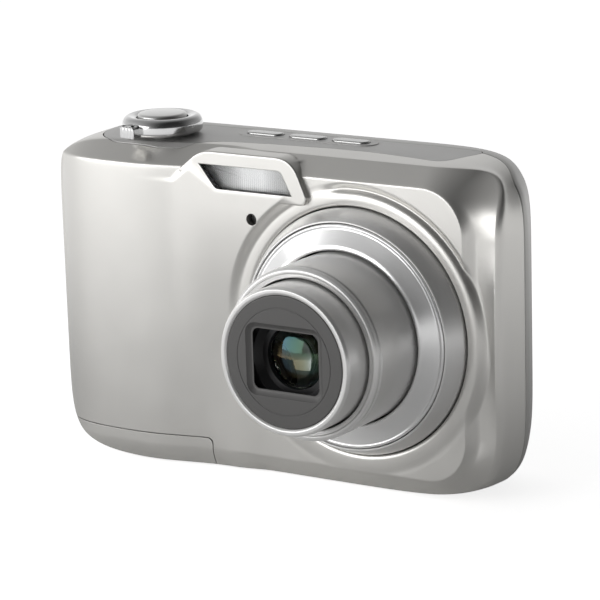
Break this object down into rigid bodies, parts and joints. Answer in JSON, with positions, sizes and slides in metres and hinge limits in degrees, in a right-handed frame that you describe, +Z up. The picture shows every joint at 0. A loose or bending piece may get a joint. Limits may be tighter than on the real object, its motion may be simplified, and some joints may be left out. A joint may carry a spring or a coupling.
{
  "type": "compact digital camera",
  "caption": "Compact camera with a grip, a telescoping zoom lens with a leaf barrier, a mode dial, top and rear buttons, a flash and a battery door.",
  "frame": {"origin": "mouth of the tripod socket, in the plane the camera stands on", "axes": "+X to the viewer's right seen from the front, +Y from the lens to the rear, +Z up, out of the top"},
  "size_m": [0.094, 0.047, 0.0633],
  "materials": {
    "silver_paint": "satin warm silver paint",
    "grey_paint": "satin grey paint",
    "top_grey": "fine-grained grey",
    "bright_trim": "polished",
    "satin_metal": "satin turned",
    "dark_metal": "satin dark grey",
    "plated_plastic": "plated, satin",
    "black_plastic": "matt black",
    "clear_cover": "clear",
    "lens_glass": "coated",
    "white_part": "white",
    "board_green": "solder mask",
    "steel_part": "plain",
    "brass_part": "plain",
    "cell_jacket": "printed jacket",
    "screen_black": "gloss black"
  },
  "bodies": {
    "root": {"front_cover": "silver_paint", "rear_cover": "grey_paint", "top_cover": "top_grey", "grip_trim": "bright_trim", "strap_post": "steel_part", "flash_window": "clear_cover", "flash_reflector": "bright_trim", "flash_tube": "lens_glass", "flash_capacitor": "screen_black", "lamp_window": "screen_black", "lens_trim_ring": "satin_metal", "lens_trim_dish": "bright_trim", "lens_base": "black_plastic", "image_sensor": "screen_black", "sensor_board": "board_green", "main_board": "board_green", "top_board": "board_green", "battery_holder": "black_plastic", "battery_contacts": "steel_part", "battery_1": "cell_jacket", "battery_2": "cell_jacket", "card_slot": "steel_part", "memory_card": "screen_black", "screen_frame": "black_plastic", "screen_panel": "screen_black", "screen_window": "screen_black", "tripod_bush": "steel_part", "speaker": "black_plastic", "usb_socket": "steel_part", "zoom_motor": "steel_part", "base_screws": "steel_part", "key_board": "board_green"},
    "cam_ring": {"cam_ring": "black_plastic"},
    "drive_gear": {"drive_gear": "white_part"},
    "motor_pinion": {"motor_pinion": "brass_part"},
    "barrel_outer": {"barrel_outer": "satin_metal"},
    "barrel_inner": {"barrel_inner": "satin_metal", "front_plate": "dark_metal", "front_lens": "lens_glass", "lens_cell": "black_plastic"},
    "blade_upper_lead": {"blade_upper_lead": "black_plastic"},
    "blade_upper_trail": {"blade_upper_trail": "black_plastic"},
    "blade_lower_lead": {"blade_lower_lead": "black_plastic"},
    "blade_lower_trail": {"blade_lower_trail": "black_plastic"},
    "mode_dial": {"mode_dial": "bright_trim"},
    "shutter_button": {"shutter_button": "satin_metal"},
    "flash_button": {"flash_button": "plated_plastic"},
    "timer_button": {"timer_button": "plated_plastic"},
    "power_button": {"power_button": "plated_plastic"},
    "zoom_rocker": {"zoom_rocker": "plated_plastic"},
    "menu_button": {"menu_button": "plated_plastic"},
    "review_button": {"review_button": "plated_plastic"},
    "delete_button": {"delete_button": "plated_plastic"},
    "info_button": {"info_button": "plated_plastic"},
    "four_way_ring": {"four_way_ring": "plated_plastic"},
    "ok_button": {"ok_button": "plated_plastic"},
    "door_slide_pin": {"door_slide_pin": "steel_part"},
    "battery_door": {"battery_door": "silver_paint", "door_contact": "steel_part"},
    "usb_cover": {"usb_cover": "black_plastic"}
  },
  "joints": [
    {"name": "zoom_turn", "type": "hinge", "parent": "root", "child": "cam_ring", "pos_m": [0.0182, 0, 0.0289], "axis": [0, -1, 0], "range_deg": [-140, 60]},
    {"name": "drive_turn", "type": "hinge", "parent": "root", "child": "drive_gear", "pos_m": [0.00204, 0, 0.01534], "axis": [0, -1, 0], "range_deg": [-360, 840]},
    {"name": "pinion_turn", "type": "hinge", "parent": "root", "child": "motor_pinion", "pos_m": [-0.00187, 0, 0.01206], "axis": [0, -1, 0], "range_deg": [-1260, 540]},
    {"name": "barrel_slide", "type": "slide", "parent": "root", "child": "barrel_outer", "axis": [0, -1, 0], "range_m": [-0.00979, 0.00419]},
    {"name": "front_slide", "type": "slide", "parent": "barrel_outer", "child": "barrel_inner", "axis": [0, -1, 0], "range_m": [-0.0049, 0.0021]},
    {"name": "upper_leaf", "type": "slide", "parent": "barrel_inner", "child": "blade_upper_lead", "axis": [0, 0, -1], "range_m": [0, 0.00538]},
    {"name": "upper_leaf_2", "type": "slide", "parent": "barrel_inner", "child": "blade_upper_trail", "axis": [0, 0, -1], "range_m": [0, 0.00272]},
    {"name": "lower_leaf", "type": "slide", "parent": "barrel_inner", "child": "blade_lower_lead", "axis": [0, 0, 1], "range_m": [0, 0.00545]},
    {"name": "lower_leaf_2", "type": "slide", "parent": "barrel_inner", "child": "blade_lower_trail", "axis": [0, 0, 1], "range_m": [0, 0.00272]},
    {"name": "dial_turn", "type": "hinge", "parent": "root", "child": "mode_dial", "pos_m": [-0.026, -0.0034, 0.0595], "axis": [0, 0, 1], "range_deg": [-75, 120]},
    {"name": "shutter_press", "type": "slide", "parent": "root", "child": "shutter_button", "axis": [0, 0, -1], "range_m": [0, 0.0006], "stiffness_N_per_m": 350},
    {"name": "flash_press", "type": "slide", "parent": "root", "child": "flash_button", "axis": [0, 0, -1], "range_m": [0, 0.0004], "stiffness_N_per_m": 350},
    {"name": "timer_press", "type": "slide", "parent": "root", "child": "timer_button", "axis": [0, 0, -1], "range_m": [0, 0.0004], "stiffness_N_per_m": 350},
    {"name": "power_press", "type": "slide", "parent": "root", "child": "power_button", "axis": [0, 0, -1], "range_m": [0, 0.0004], "stiffness_N_per_m": 350},
    {"name": "zoom_rock", "type": "hinge", "parent": "root", "child": "zoom_rocker", "pos_m": [-0.0293, 0.01118, 0.05], "axis": [0, 0, 1], "range_deg": [-2.5, 2.5], "stiffness_Nm_per_rad": 0.02},
    {"name": "menu_press", "type": "slide", "parent": "root", "child": "menu_button", "axis": [0, -1, 0], "range_m": [0, 0.00022], "stiffness_N_per_m": 350},
    {"name": "review_press", "type": "slide", "parent": "root", "child": "review_button", "axis": [0, -1, 0], "range_m": [0, 0.00022], "stiffness_N_per_m": 350},
    {"name": "delete_press", "type": "slide", "parent": "root", "child": "delete_button", "axis": [0, -1, 0], "range_m": [0, 0.00022], "stiffness_N_per_m": 350},
    {"name": "info_press", "type": "slide", "parent": "root", "child": "info_button", "axis": [0, -1, 0], "range_m": [0, 0.00022], "stiffness_N_per_m": 350},
    {"name": "ring_rock", "type": "hinge", "parent": "root", "child": "four_way_ring", "pos_m": [-0.0293, 0.01118, 0.025], "axis": [1, 0, 0], "range_deg": [-1.2, 1.2], "stiffness_Nm_per_rad": 0.03},
    {"name": "ok_press", "type": "slide", "parent": "root", "child": "ok_button", "axis": [0, -1, 0], "range_m": [0, 0.00022], "stiffness_N_per_m": 350},
    {"name": "door_slide", "type": "slide", "parent": "root", "child": "door_slide_pin", "axis": [-1, 0, 0], "range_m": [0, 0.002]},
    {"name": "door_turn", "type": "hinge", "parent": "door_slide_pin", "child": "battery_door", "pos_m": [-0.024, 0.0098, 0.0018], "axis": [1, 0, 0], "range_deg": [0, 85]},
    {"name": "flap_turn", "type": "hinge", "parent": "root", "child": "usb_cover", "pos_m": [0.0265, 0, 0.00085], "axis": [0, 1, 0], "range_deg": [0, 90]}
  ],
  "couplings": [
    {"joint": "drive_turn", "follows": "barrel_slide", "rad_per_m": -1496.3},
    {"joint": "pinion_turn", "follows": "barrel_slide", "rad_per_m": 2244.4},
    {"joint": "zoom_turn", "follows": "barrel_slide", "rad_per_m": 249.38},
    {"joint": "front_slide", "follows": "barrel_slide", "ratio": 0.49002},
    {"joint": "upper_leaf_2", "follows": "upper_leaf", "ratio": 0.5},
    {"joint": "lower_leaf", "follows": "upper_leaf", "ratio": 1},
    {"joint": "lower_leaf_2", "follows": "upper_leaf", "ratio": 0.5}
  ]
}
